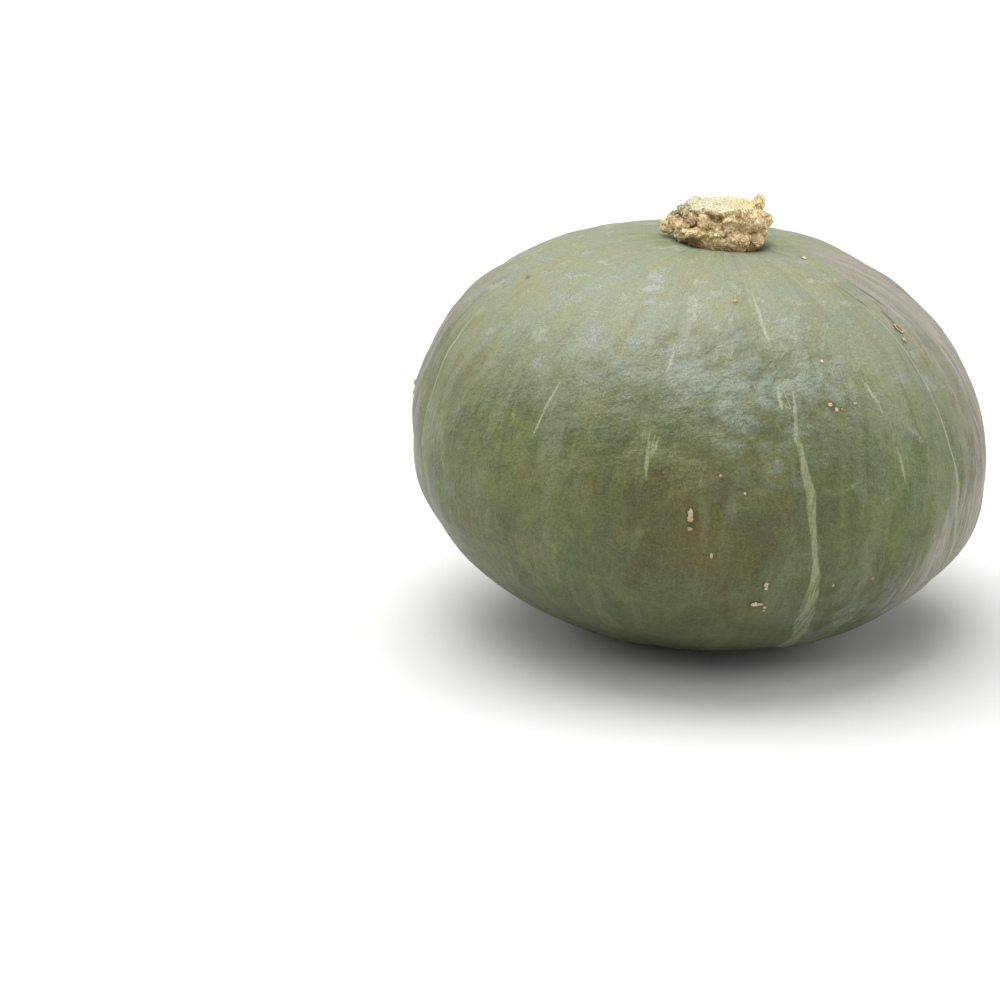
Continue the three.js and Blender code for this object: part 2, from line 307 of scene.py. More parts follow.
fruit_low, fruit_high = (np.array(corner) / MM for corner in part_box("fruit"))
skin, girth_height = stood(relief)
shift = (fruit_low + fruit_high) / 2 - (skin.min(axis=0) + skin.max(axis=0)) / 2
girth_middle = np.array([shift[0], shift[1], girth_height])

skin, _ = stood(relief + fine)
fit = min(1, ((fruit_high - fruit_low) / (skin.max(axis=0) - skin.min(axis=0))).min())
skin *= fit
skin[:, :2] += ((fruit_low + fruit_high) / 2 - (skin.min(axis=0) + skin.max(axis=0)) / 2)[:2]
print("girth middle", girth_middle.round(2), "fit", round(fit, 5))

# %% Join the grid into a mesh


def closed_faces(rings, around):
    """Quads between the rings of a closed form, and a fan of triangles at each end."""
    last = 1 + (rings - 1) * around
    faces = []
    for i in range(around):
        j = (i + 1) % around
        faces += [(0, 1 + i, 1 + j), (last, last - around + j, last - around + i)]
        for a in range(1, last - around, around):
            faces.append((a + i, a + around + i, a + around + j, a + j))
    return faces


def make_piece(name, points, faces):
    """A smooth mesh object from points in millimetres."""
    mesh = bpy.data.meshes.new(name)
    mesh.from_pydata((np.asarray(points) * MM).tolist(), [], faces)
    mesh.shade_smooth()
    piece = bpy.data.objects.new(name, mesh)
    bpy.context.scene.collection.objects.link(piece)
    return piece


fruit_skin = make_piece("fruit_skin", skin, closed_faces(RINGS, len(lines)))
print("fruit_skin has", len(fruit_skin.data.polygons), "faces")

# %% [markdown]
# ## Marks that the shader can read
# The pale stripes, dark streaks and scuffs each follow a line over the skin. Painting them on an
# image would need a flat map of a round thing. Instead each point of the mesh stores how far it
# lies across the nearest mark and how wide that mark is there. Both numbers change smoothly, so
# the shader can draw a crisp, ragged edge between the points.

# %% Store the marks
MARK_STEPS = 6
MARK_MARGIN = 9
FAR = 99.0
NO_MARK = -9.0


def store(piece, name, values):
    """Keeps one number, or one vector, for each point of a piece."""
    kind = "FLOAT" if np.ndim(values) == 1 else "FLOAT_VECTOR"
    attribute = piece.data.attributes.new(name, kind, "POINT")
    field = "value" if kind == "FLOAT" else "vector"
    attribute.data.foreach_set(field, np.asarray(values, np.float32).ravel())


def store_marks(name, marks):
    """Stores the distance across the nearest mark, and its half width, for each point of skin."""
    across = np.full(len(bare), FAR)
    half = np.full(len(bare), NO_MARK)
    for mark in marks:
        knots = np.array(mark, float)
        at = np.linspace(0, len(knots) - 1, MARK_STEPS * (len(knots) - 1) + 1)
        mark_azimuth, mark_height, width = (np.interp(at, np.arange(len(knots)), k) for k in knots.T)
        path = on_outline(mark_azimuth, mark_height)
        inside = (bare > path.min(axis=0) - MARK_MARGIN) & (bare < path.max(axis=0) + MARK_MARGIN)
        chosen = np.nonzero(inside.all(axis=1))[0]
        for start, end, start_width, end_width in zip(path, path[1:], width, width[1:]):
            run = end - start
            offset = bare[chosen] - start
            share = offset @ run / (run @ run)
            side = np.cross(run, start)
            distance = offset @ (side / np.linalg.norm(side))
            here = start_width + (end_width - start_width) * np.clip(share, 0, 1)
            better = (share > -0.1) & (share < 1.1)
            better &= here - np.abs(distance) > half[chosen] - np.abs(across[chosen])
            across[chosen[better]] = distance[better]
            half[chosen[better]] = here[better]
    store(fruit_skin, name + "_across", np.clip(across, -MARK_MARGIN, MARK_MARGIN))
    store(fruit_skin, name + "_half", half)
    print(name, len(marks), "marks on", (half > 0).sum(), "points")


# Each mark is a row of azimuth, height and half width. A half width of 0 or less ends it.
STRIPES = [
    [(9.3, 62, -0.3), (9.6, 59, 0.4), (10.3, 55, 0.5), (11.2, 52, 0.35), (12.3, 49, -0.3)],
    [(11.9, 41, -0.3), (11.9, 39.5, 0.4), (12, 37, 0.55), (12.3, 34.6, 0.4), (12.4, 33, -0.3)],
    [(14.9, 40, -0.3), (15, 38.2, 0.35), (15.1, 32, 0.6), (15.3, 26.4, 0.8), (16.2, 21, 1.0),
     (17.1, 15, 1.2), (18.3, 10, 1.6), (18.9, 3, 1.3), (19.9, -3.5, 0.9), (20.4, -8.4, 0.8),
     (21.3, -14, 1.0), (22.4, -19, 1.6), (22.8, -25, 2.3), (23.3, -30, 2.7), (24.6, -37, 2.9),
     (27, -43, 2.2), (29, -52, 1.6), (30, -60, -0.4)],
    [(-14.6, 27, -0.3), (-14.3, 22, 0.5), (-13.9, 14, 0.6), (-13.4, 9, -0.2)],
    [(-12.6, 25, -0.3), (-12.7, 20, 0.5), (-13.1, 16, -0.2)],
    [(-36.2, 35, -0.3), (-36.9, 31, 0.3), (-37.4, 25, 0.4), (-38, 18, 0.3), (-38.4, 13, -0.3)],
    [(56.5, 20, -0.4), (57.4, 12, 0.5), (59.4, -4, 0.8), (61.4, -14, 0.7), (62.4, -30, 0.7), (63, -44, -0.4)],
    [(33.6, 43, -0.3), (34.8, 39, 0.5), (36.2, 34, 0.5), (37, 30, -0.2)],
    [(38.4, 24, -0.3), (39.2, 18, 0.6), (40, 10, -0.2)],
    [(84.5, 52, -0.3), (84, 40, 0.8), (82.6, 20, 1.1), (82, 0, 1.2), (81, -20, 0.8), (80, -40, -0.4)],
    [(111, 58, -0.3), (111, 44, 0.9), (111.4, 30, 0.5), (111.2, 20, -0.4)],
    [(110.4, 12, -0.4), (111.6, -6, 1.3), (112, -30, 2.2), (112.6, -50, 3.0), (113, -62, -0.4)],
    [(144.4, 44, -0.4), (143.2, 26, 1.0), (142, 2, 1.5), (140.6, -22, 0.9), (139.4, -40, -0.4)],
    [(172.8, 50, -0.4), (172, 36, 0.7), (171.6, 20, 0.9), (171, 4, -0.4)],
    [(171, -8, -0.4), (170, -26, 1.6), (169, -46, 3.2), (168.6, -62, -0.4)],
    [(197.4, 52, -0.4), (198, 30, 0.9), (199, 6, 1.6), (200, -16, 1.1), (201.4, -34, -0.4)],
    [(224.6, 46, -0.4), (226, 24, 1.1), (227, -4, 1.3), (228.6, -30, 2.0), (230, -52, 2.6), (231, -62, -0.4)],
    [(256, 56, -0.4), (256.2, 40, 0.6), (256, 26, 0.8), (255.4, 8, -0.4)],
    [(256, -6, -0.4), (256, -24, 1.2), (256.4, -44, 2.0), (257, -58, -0.4)],
]
SEAMS = [
    [(54.6, 62, -0.2), (53, 56, 0.35), (54, 48, 0.45), (55.1, 39, 0.4), (55.7, 26.5, 0.45), (56.8, 17, 0.45),
     (58.2, 1, 0.4), (60, -8, -0.3)],
    [(-77.2, 44, -0.4), (-77, 38, 0.2), (-76.2, 26, 0.35), (-75.5, 10, 0.3), (-75.8, -8, 0.3),
     (-76, -24, -0.4)],
    [(-13.6, 49.5, -0.2), (-13.2, 46, 0.4), (-13.4, 42, 0.35), (-13.8, 40.6, -0.2)],
    [(85.4, 60, -0.3), (85, 52, 0.4), (84, 40, 0.5), (83, 26, -0.3)],
    [(112, 60, -0.3), (111.4, 50, 0.5), (111, 36, 0.4), (111, 28, -0.3)],
    [(197, 60, -0.3), (197.6, 48, 0.4), (198, 40, -0.3)],
    [(256.2, 62, -0.3), (256, 50, 0.5), (256, 38, -0.3)],
]
STAINS = [
    [(50.6, 62.6, -0.2), (52.4, 60.8, 0.5), (54, 58.6, 0.6), (55.6, 56.6, -0.2)],
    [(58.6, 56.4, -0.3), (58.3, 54.4, 0.7), (57.9, 52, 0.6), (57.6, 50.8, -0.1)],
    [(62, 62, -0.2), (62.6, 59.4, 0.8), (62.4, 57, 0.4), (62, 55.4, -0.2)],
    [(-76.4, 53.4, -0.2), (-74.8, 52.4, 1.3), (-73, 52.6, 0.8), (-71.6, 53, -0.2)],
    [(18.4, 50.5, -0.1), (19.3, 50.2, 0.55), (20.1, 50.6, -0.1)],
    [(132, 38, -0.2), (133, 35, 0.9), (134, 32.4, -0.2)],
    [(214, 20, -0.2), (214.6, 16, 1.1), (216, 12, 0.7), (217, 10, -0.2)],
    [(279, -10, -0.2), (280, -14, 0.9), (280.6, -19, -0.2)],
]
SCUFFS = [
    [(-41.4, 47.2, -0.1), (-39.6, 46.6, 0.5), (-37.6, 45.2, 1.0), (-35.4, 44, 0.7), (-33.6, 43.4, -0.1)],
    [(-34, 44, -0.2), (-26, 44.6, 0.35), (-18, 45.4, 0.4), (-12, 47.4, 0.3), (-10.6, 47.8, -0.1)],
    [(-45, 21.6, -0.1), (-44.4, 19.6, 1.1), (-43.2, 17.6, -0.1)],
    [(-11.6, 50, -0.1), (-11.8, 47, 0.4), (-12.2, 44, -0.1)],
    [(24.4, 9.4, -0.1), (27, 12, 0.5), (29.6, 14, -0.1)],
    [(33, 4, -0.1), (35, 6.6, 0.45), (37, 7.6, -0.1)],
    [(42.6, 28, -0.1), (44.4, 25.6, 0.8), (45.6, 23, 0.5), (46, 21.4, -0.1)],
    [(150, 30, -0.1), (154, 26, 0.6), (158, 25, -0.1)],
    [(236, 34, -0.1), (240, 33, 0.5), (245, 34.6, 0.4), (248, 34, -0.1)],
    [(190, -20, -0.1), (193, -24, 0.7), (195, -26, -0.1)],
]
store_marks("stripe", STRIPES)
store_marks("seam", SEAMS)
store_marks("stain", STAINS)
store_marks("scuff", SCUFFS)

# %% [markdown]
# ## Where the bloom, the ripe patches and the weathered shoulder lie, with painted reflection in them
# A kabocha isn't one green. A dusty bluish bloom lies on the crown where it hasn't rubbed off, and low
# on the right part of the bloom is painted pale reflection. Some ribs are a fresher green. Olive-brown
# patches show where the rind is ripening, and low on the front they are partly painted warm reflection
# and shade. The shoulder that faced the weather is beige and streaky, and along both limbs that beige
# is partly painted pale reflection. Each is a sum of soft patches, stored as one number a point. The
# shader breaks them up with noise.

# %% Store the broad patches
BLOOM_AND_SHEEN = [
    (4, 38, 24, 0.7), (-8, 44, 18, 0.6), (20, 44, 16, 0.6), (-34, 40, 22, 0.5), (14, 20, 24, 0.4),
    (34, -36, 24, 0.8), (60, -14, 20, 0.4), (64, 52, 24, 0.4), (100, 30, 34, 0.6), (150, 44, 30, 0.6),
    (186, 16, 34, 0.5), (226, 36, 34, 0.6), (264, 10, 34, 0.4), (140, -20, 30, 0.4), (-62, -10, 30, 0.4),
]
FRESH = [
    (38, 24, 26, 1.0), (48, 2, 24, 0.7), (-42, 16, 22, 0.6), (-24, -24, 26, 0.5), (10, 54, 16, 0.4),
    (130, 10, 26, 0.8), (212, -6, 28, 0.8), (250, 30, 24, 0.6),
]
RIPE_AND_REFLECTION = [
    (-2, -7, 15, 0.8), (-11, 3, 13, 0.75), (5, -13, 13, 0.65), (-3, 10, 12, 0.4), (12, 4, 11, 0.45),
    (-14, -22, 12, 0.5), (8, -32, 11, 0.4), (48, -4, 16, 0.3), (160, -16, 20, 0.7), (166, -4, 10, 0.6),
    (238, -24, 18, 0.6), (-52, -22, 14, 0.5),
]
WEATHERED_AND_SHEEN = [
    (72, 54, 22, 0.7), (98, 50, 26, 0.8), (80, 30, 22, 0.65), (80, 4, 22, 0.55), (72, -22, 22, 0.5),
    (92, 64, 16, 0.6), (60, 20, 13, 0.2), (60, -8, 16, 0.5), (52, -30, 20, 0.6), (-84, 44, 20, 0.35),
    (-88, 16, 24, 0.45), (126, 36, 26, 0.4), (200, 56, 22, 0.4), (-88, -16, 22, 0.4),
]
for patch_name, patches in (("bloom", BLOOM_AND_SHEEN), ("fresh", FRESH), ("ripe_and_reflection", RIPE_AND_REFLECTION), ("weathered_and_sheen", WEATHERED_AND_SHEEN)):
    spread = sum(strength * near(bare, *place) for *place, strength in patches)
    store(fruit_skin, patch_name, np.clip(spread, 0, 1))
store(fruit_skin, "unrolled", unrolled)
store(fruit_skin, "slanted", slanted)
store(fruit_skin, "hammer", hammer)
store(fruit_skin, "from_stem", np.where(height > 0, radius, 999))
store(fruit_skin, "from_blossom", np.where(height < 0, radius, 999))
store(fruit_skin, "up", height)

print("stored", [a.name for a in fruit_skin.data.attributes if not a.name.startswith(".")])

# %% [markdown]
# ## Shader maths as ordinary sums
# A finish is a net of nodes, and most of it is arithmetic on masks. The small class below wraps one
# socket, so that `1 - mask * 0.4` adds the Math nodes by itself. Its one other method makes any
# node: the settings are set first, because some of them change which sockets the node has, and
# then its sockets get their values or links.

# %% The wire class


class Wire:
    """One output socket of a shader node, or a bare node tree to start from."""

    def __init__(self, tree, socket=None):
        self.tree = tree
        self.socket = socket

    def node(self, kind, settings=None, inputs=None, output=0):
        """Adds a node and gives back a wire from one of its outputs."""
        node = self.tree.nodes.new("ShaderNode" + kind)
        for name, value in (settings or {}).items():
            setattr(node, name, value)
        for name, value in (inputs or {}).items():
            self.feed(node.inputs[name], value)
        return Wire(self.tree, node.outputs[output])

    def feed(self, socket, value):
        """Links a wire to a socket, or sets the socket's own value."""
        if isinstance(value, Wire):
            self.tree.links.new(value.socket, socket)
        else:
            socket.default_value = value

    def maths(self, operation, first, second=0.0):
        return self.node("Math", {"operation": operation}, {0: first, 1: second})

    def __add__(self, other):
        return self.maths("ADD", self, other)

    __radd__ = __add__

    def __sub__(self, other):
        return self.maths("SUBTRACT", self, other)

    def __rsub__(self, other):
        return self.maths("SUBTRACT", other, self)

    def __mul__(self, other):
        return self.maths("MULTIPLY", self, other)

    __rmul__ = __mul__

    def __abs__(self):
        return self.maths("ABSOLUTE", self)

    def between(self, low, high):
        """0 below the first value, 1 above the second, and an eased climb between them."""
        ease = {"interpolation_type": "SMOOTHSTEP"}
        return self.node("MapRange", ease, {"Value": self, "From Min": low, "From Max": high})

    def stored(self, name, output="Fac"):
        """A number or a vector that was stored for each point of the mesh."""
        return self.node("Attribute", {"attribute_name": name}, output=output)

    def stretched(self, scale):
        """This vector with each of its parts multiplied by its own number."""
        return self.node("VectorMath", {"operation": "MULTIPLY"}, {0: self, 1: scale})

    def cloud(self, length, detail=2.0, roughness=0.55, swirl=0.0):
        """Noise laid over this vector, with features of a length in the vector's own units."""
        sockets = {"Vector": self, "Scale": 1 / length, "Detail": detail, "Roughness": roughness}
        return self.node("TexNoise", None, {**sockets, "Distortion": swirl})

    def plain(self, code):
        """One colour all over, from its web code."""
        colour = self.node("RGB")
        colour.socket.default_value = paint(code)
        return colour

    def blend(self, mask, code):
        """This colour with another, a web code or a wire, laid over it where the mask is 1."""
        colour = paint(code) if isinstance(code, str) else code
        return self.node("Mix", {"data_type": "RGBA"}, {0: mask, 6: self, 7: colour}, output=2)

    def layered(self, *layers):
        """This colour with layers laid over it in turn, each a mask and a colour."""
        top = self
        for mask, code in layers:
            top = top.blend(mask, code)
        return top


def paint(code):
    """A colour from its web code, turned into the linear light that shaders work in."""
    shares = [int(code[i : i + 2], 16) / 255 for i in (0, 2, 4)]
    return (*[s / 12.92 if s <= 0.04045 else ((s + 0.055) / 1.055) ** 2.4 for s in shares], 1.0)


def new_finish(name):
    """A material, its main shader, a wire to start its nodes from, and each place in millimetres."""
    material = bpy.data.materials.new(name)
    material.use_nodes = True
    start = Wire(material.node_tree)
    where = start.node("TexCoord", output="Object").stretched((1 / MM, 1 / MM, 1 / MM))
    return material, material.node_tree.nodes["Principled BSDF"], start, where


print("paint of a mid green", [round(c, 3) for c in paint("7B8466")])

# %% [markdown]
# ## The waxy rind
# The rind is layered as it grew, with some light and shade painted in. A grey-green ground is mottled
# at several sizes and streaked along the ribs. It is painted paler on the crown, partly its own bloom
# and partly painted light from above, and darker towards the bottom as painted shade. Over it come the
# olive-brown patches, partly ripening and partly painted warm reflection, the weathered shoulder, partly
# painted pale reflection along the limbs, the pale stripes in the furrows, dark streaks and scuffs, and
# last the bloom, a dry veil that lightens the green and dulls the wax, with painted highlight glints on
# its wrinkles and painted pale reflection low on the right. Each layer is a mask and a colour, so they
# can be read and tuned one at a time.

# %% The rind's colour
rind, rind_shader, start, where = new_finish("waxy_rind")
sheet = start.stored("unrolled", "Vector")
skewed = start.stored("slanted", "Vector")
up = start.stored("up")
mottle = where.cloud(24, 3.0)
tint = where.cloud(13, 3.0, 0.6)
blotch = where.cloud(7, 3.0, 0.6)
speckle = where.cloud(1.8, 3.0, 0.65)
grain = where.cloud(0.6, 2.0, 0.7)
fibre = sheet.stretched((1, 1, 1 / 12)).cloud(1.4, 3.0, 0.6, 0.5)
smoke = sheet.stretched((1, 1, 1 / 4)).cloud(7, 4.0, 0.6, 0.6)
fine_fibre = sheet.stretched((1, 1, 1 / 5)).cloud(0.55, 2.0, 0.7)

green = start.plain("575E36")
green = green.layered(
    (mottle.between(0.42, 0.62) * 0.8, "65663A"),
    ((start.stored("fresh") * (0.5 + mottle)).between(0.1, 1.0) * 0.6, "5C6D3A"),
    (tint.between(0.52, 0.64) * 0.4, "505E45"),
    (tint.between(0.47, 0.36) * 0.35, "6B6A3D"),
    # painted shade: the ground is darker green towards the bottom
    ((8 * (blotch - 0.5) - up).between(6, 38) * 0.45, "525942"),
    (blotch.between(0.5, 0.64) * 0.45, "474E2E"),
    (blotch.between(0.45, 0.33) * 0.35, "71754A"),
)

# Olive-brown patches: ripening rind, and low on the front a painted warm reflection and shade.
ripe_and_reflection = start.stored("ripe_and_reflection") * (2.2 * blotch + 0.9 * (speckle - 0.5))
green = green.layered(
    (ripe_and_reflection.between(0.3, 0.85) * 0.6, "504725"),
    ((ripe_and_reflection * mottle).between(0.36, 0.5) * 0.45, "625C23"),
)

# The crown is painted paler: partly its own dusty bloom, partly painted light from above.
crown = (up + 24 * (smoke - 0.5) + 20 * (tint - 0.5)).between(16, 54)
pale = start.plain("868871")
pale = pale.layered(
    (tint.between(0.5, 0.62) * 0.4, "7F8B7D"),
    (tint.between(0.48, 0.36) * 0.5, "898A66"),
)
green = green.layered(
    (crown * 0.85, pale),
    (crown * fibre.between(0.54, 0.7) * 0.3, "939586"),
    (crown * (1.0 * blotch + 0.5 * grain).between(0.82, 0.92) * 0.4, "A1A79D"),
)

lower = 1 - 0.65 * crown
green = green.layered(
    (smoke.between(0.5, 0.66) * lower * 0.4, "777D5F"),
    (smoke.between(0.47, 0.34) * lower * 0.3, "41492D"),
    (fibre.between(0.54, 0.68) * lower * 0.2, "7C8059"),
    (speckle.between(0.54, 0.66) * lower * 0.35, "3D4327"),
    (grain.between(0.48, 0.7) * lower * 0.25, "7F8560"),
)

# Painted pale reflection on the weathered limbs, low down.
low_limb_reflection = start.stored("weathered_and_sheen").between(0.1, 0.7) * up.between(14, -24)
green = green.blend(low_limb_reflection * smoke.between(0.44, 0.6) * 0.7, "8E9582")

lock = sheet.stretched((1, 1, 1 / 6)).cloud(5.0, 4.0, 0.65, 0.5)
# The beige is streaky weathering, and along the limbs partly a painted pale reflection.
weathered_and_sheen = start.stored("weathered_and_sheen") * (0.3 + 1.4 * lock)
beige = weathered_and_sheen.between(0.25, 0.8)
colour = green.layered(
    (beige * 0.55, "857D75"),
    (beige * lock.between(0.48, 0.58) * 0.7, "9A918B"),
    (beige * fibre.between(0.5, 0.6) * 0.5, "A39B8D"),
    (beige * fibre.between(0.48, 0.38) * 0.5, "636251"),
)
print("ground, crown and shoulder:", len(rind.node_tree.nodes), "nodes so far")

# %% The rind's marks
ragged = (sheet.stretched((1, 1, 1 / 5)).cloud(1.2, 3.0, 0.7) - 0.5) * 1.3
strands = sheet.stretched((1, 1, 1 / 16)).cloud(1.1, 3.0, 0.6, 0.4)


def mark_mask(name, soft):
    """1 inside the marks of a kind, with a ragged edge."""
    off = abs(start.stored(name + "_across") + ragged)
    return (start.stored(name + "_half") - off).between(-soft, soft)


halo = (start.stored("stripe_half") - abs(start.stored("stripe_across")) + 3.4).between(0, 4.2)
colour = colour.blend(halo * strands.between(0.5, 0.6) * 0.4, "727953")
wide = start.stored("stripe_half").between(1.2, 2.8)
stripe = mark_mask("stripe", 0.35) * (0.5 + 0.5 * strands.between(0.4, 0.52))
stripe = stripe * (1 - 0.55 * wide * strands.between(0.5, 0.42))
on_crown = up.between(24, 50)
seam = mark_mask("seam", 0.35)
colour = colour.layered(
    (mark_mask("stain", 0.7) * 0.65, "323B32"),
    (mark_mask("scuff", 0.7) * grain.between(0.35, 0.6) * 0.4, "999D8B"),
)
bitten = start.stored("bitten") * (0.4 + 1.2 * speckle)
colour = colour.blend(bitten.between(0.3, 0.9) * 0.5, "373522")
print("with its marks:", len(rind.node_tree.nodes), "nodes")

# %% [markdown]
# Round the stem the rind stays a fresher, darker green that runs out in rays, and a dark band round
# the stem's foot is painted shade. At the other end the blossom leaves a corky button with cracked rings.

# %% The rind's two ends
from_stem = start.stored("from_stem")
ray = sheet.stretched((1, 1, 1 / 60)).cloud(8, 3.0)
colour = colour.layered(
    (from_stem.between(40, 15) * ray.between(0.46, 0.6) * 0.6, "63703F"),
    # painted shade: a dark band round the foot of the stem
    ((from_stem + 7 * ray).between(22.5, 17.5) * 0.7, "2E2F20"),
)

from_blossom = start.stored("from_blossom") + 3 * (blotch - 0.5)
cracks = where.cloud(1.2, 3.0, 0.8).between(0.42, 0.6)
colour = colour.layered(
    (from_blossom.between(34, 14) * 0.45, "7C7A4C"),
    (from_blossom.between(8.5, 6.5) * (0.5 + 0.5 * cracks), "A88D62"),
    ((abs(from_blossom - 7.4)).between(1.2, 0.2) * 0.7, "4A3B24"),
)
print("with its ends:", len(rind.node_tree.nodes), "nodes")

# %% The bloom, its painted glints and the wax
tuft = skewed.stretched((1 / 1.3, 1 / 1.3, 1)).cloud(5.5, 4.0, 0.65)
patch = (tuft * 0.6 + where.cloud(15, 2.0) * 0.4).between(0.4, 0.62)
crinkle = skewed.stretched((1 / 1.7, 1 / 1.7, 1)).cloud(2.2, 3.0, 0.6, 0.8)
net = abs(crinkle - 0.5).between(0.05, 0.0)
bloom_and_sheen = start.stored("bloom")
dust = (bloom_and_sheen * (0.15 + 0.85 * patch)).between(0.05, 1.0)
# The bloom is a dusty veil, and low on the right partly painted pale reflection; its whitish crinkle on the
# wrinkles is a painted highlight glint.
colour = colour.layered(
    (dust * 0.5, "717D72"),
    (dust * patch * (0.45 * net + 0.4 * crinkle.between(0.52, 0.62)), "A0AC9F"),
    (bloom_and_sheen * patch.between(0.35, 0.0) * 0.4, "515534"),
)
stripe_paint = start.plain("969B78")
stripe_paint = stripe_paint.layered(
    (on_crown, "A2A691"),
    (wide * 0.7, "8C9475"),
)
colour = colour.layered(
    (stripe * 0.9, stripe_paint),
    (seam * 0.85, "9A9D8B"),
)

colour = colour.blend(grain.between(0.5, 0.4) * 0.22, "30351F")
start.feed(rind_shader.inputs["Base Color"], colour)
start.feed(rind_shader.inputs["Roughness"], 0.44 + 0.06 * dust + 0.1 * speckle)
rind_shader.inputs["IOR"].default_value = 1.4
rind_shader.inputs["Coat Weight"].default_value = 0.06
rind_shader.inputs["Coat Roughness"].default_value = 0.3

hammered = start.stored("hammer")
dimples = hammered * (crinkle * (0.5 + 0.8 * patch) + where.cloud(3.8, 2.0) * 2.1)
pores = grain * 0.2 + speckle * 0.14 + fibre * 0.1 + fine_fibre * 0.05 - stripe * 0.1
sockets = {"Strength": 1.0, "Distance": MM, "Height": dimples * 0.5 + pores}
start.feed(rind_shader.inputs["Normal"], start.node("Bump", None, sockets, "Normal"))
fruit_skin.data.materials.append(rind)
print("rind has", len(rind.node_tree.nodes), "nodes")

# %% [markdown]
# ## Scars and specks
# Small corky specks sit on the rind where it was scratched or bitten as it grew, and one ring is
# left of a larger bite. They stand proud of the skin, so they are modelled: each is a low ball with
# noise on it, sunk into the skin by a quarter of its height. All of them join in one mesh, with a
# finish of their own.

# %% Model the specks
# Azimuth, height, width round the fruit and length along it.
SPECKS = [
    (2.2, 58.9, 1.0, 0.6), (23.7, 45.6, 0.5, 0.6), (23.4, 34.4, 0.8, 0.6), (24.7, 34.0, 0.6, 0.8),
    (26.1, 34.0, 0.4, 0.4), (29.6, 35.3, 0.8, 0.45), (-4.1, 1.4, 0.8, 1.6), (-4.0, 0.1, 0.9, 0.9),
    (-3.9, -3.0, 0.8, 0.6), (0.6, 13.6, 0.5, 0.4), (5.5, 9.4, 0.4, 0.4), (-0.1, -11.8, 0.5, 0.9),
    (11.8, -20.4, 0.7, 0.9), (12.2, -22.0, 0.7, 0.6), (11.2, -27.0, 1.0, 0.6), (10.3, -28.2, 1.2, 0.9),
    (12.8, -28.9, 0.6, 0.5), (13.2, -30.4, 0.4, 0.5), (26.9, -21.2, 0.4, 0.4), (56.4, 49.0, 0.8, 0.9),
    (65.3, 66.0, 1.2, 0.8), (35.7, -20.1, 0.6, 0.4), (49.7, -7.4, 0.5, 0.4),
    (-90, 10, 0.8, 1.0), (-89, 6.4, 0.5, 0.6),
]
RING_SCAR = {"azimuth": 57.8, "height": 51.4, "across": 1.1, "along": 1.7, "lumps": 22, "size": 0.38}
STRAY_SPECKS = {"count": 40, "first": 104, "last": 256, "heights": (-44, 58), "sizes": (0.35, 1.1)}
SPECK_RISE = 0.42
SPECK_SINK = 0.28
SPECK_SIDES = 14
SPECK_RINGS = 7
SPECK_LUMP = {"length": 0.6, "rise": 0.5}
BITE = {"share": 1.4, "margin": 0.5, "strength": 0.8, "ring_reach": 1.6}

turned_outward = outward @ turn.T
to_east = np.column_stack([-turned_outward[:, 1], turned_outward[:, 0], np.zeros(len(bare))])
to_east /= np.maximum(np.linalg.norm(to_east, axis=1, keepdims=True), 1e-9)
to_north = np.cross(turned_outward, to_east)


def low_ball(place_azimuth, place_height, wide, long, aside, shape_seed):
    """The points of a lumpy low ball on the skin, moved aside by so much to its east and north."""
    spot = np.argmin(np.linalg.norm(bare - on_outline(place_azimuth, place_height), axis=1))
    tilt = np.repeat(np.linspace(0, math.pi, SPECK_RINGS + 1)[1:-1], SPECK_SIDES)
    spin = np.tile(np.arange(SPECK_SIDES) * 2 * math.pi / SPECK_SIDES, SPECK_RINGS - 1)
    ball_points = np.column_stack([np.sin(tilt) * np.cos(spin), np.sin(tilt) * np.sin(spin), np.cos(tilt)])
    ball_points = np.vstack([(0, 0, 1), ball_points, (0, 0, -1)])
    lumps = noise(ball_points + 7 * shape_seed, SPECK_LUMP["length"], 21)
    ball_points *= 1 + SPECK_LUMP["rise"] * lumps[:, None]
    size = SPECK_RISE * min(wide, long)
    ball_points = ball_points * (wide, long, size) + (0, 0, size * (1 - 2 * SPECK_SINK))
    frame_axes = np.array([to_east[spot], to_north[spot], turned_outward[spot]])
    return skin[spot] + (ball_points + (*aside, 0)) @ frame_axes


specks = [(*speck, (0, 0)) for speck in SPECKS]
for angle in np.arange(RING_SCAR["lumps"]) * 2 * math.pi / RING_SCAR["lumps"]:
    aside = (RING_SCAR["across"] * math.cos(angle), RING_SCAR["along"] * math.sin(angle))
    specks.append((RING_SCAR["azimuth"], RING_SCAR["height"], RING_SCAR["size"], RING_SCAR["size"], aside))
stray = np.random.default_rng(77)
small, large = STRAY_SPECKS["sizes"]
for _ in range(STRAY_SPECKS["count"]):
    speck_azimuth = stray.uniform(STRAY_SPECKS["first"], STRAY_SPECKS["last"])
    wide, long = small + (large - small) * stray.uniform(0, 1, 2) ** 2
    specks.append((speck_azimuth, stray.uniform(*STRAY_SPECKS["heights"]), wide, long, (0, 0)))

bitten = near(bare, RING_SCAR["azimuth"], RING_SCAR["height"], BITE["ring_reach"])
for at, level, wide, long, _ in specks:
    bitten += BITE["strength"] * near(bare, at, level, BITE["share"] * max(wide, long) + BITE["margin"])
store(fruit_skin, "bitten", np.clip(bitten, 0, 1))

speck_points = [low_ball(*speck, shape_seed) for shape_seed, speck in enumerate(specks)]
ball_faces = closed_faces(SPECK_RINGS, SPECK_SIDES)
speck_faces = []
for first in range(0, len(specks) * len(speck_points[0]), len(speck_points[0])):
    speck_faces += [tuple(first + corner for corner in face) for face in ball_faces]
speck_points = np.clip(np.vstack(speck_points), fruit_low, fruit_high)
rind_specks = make_piece("rind_specks", speck_points, speck_faces)
print(len(specks), "specks")

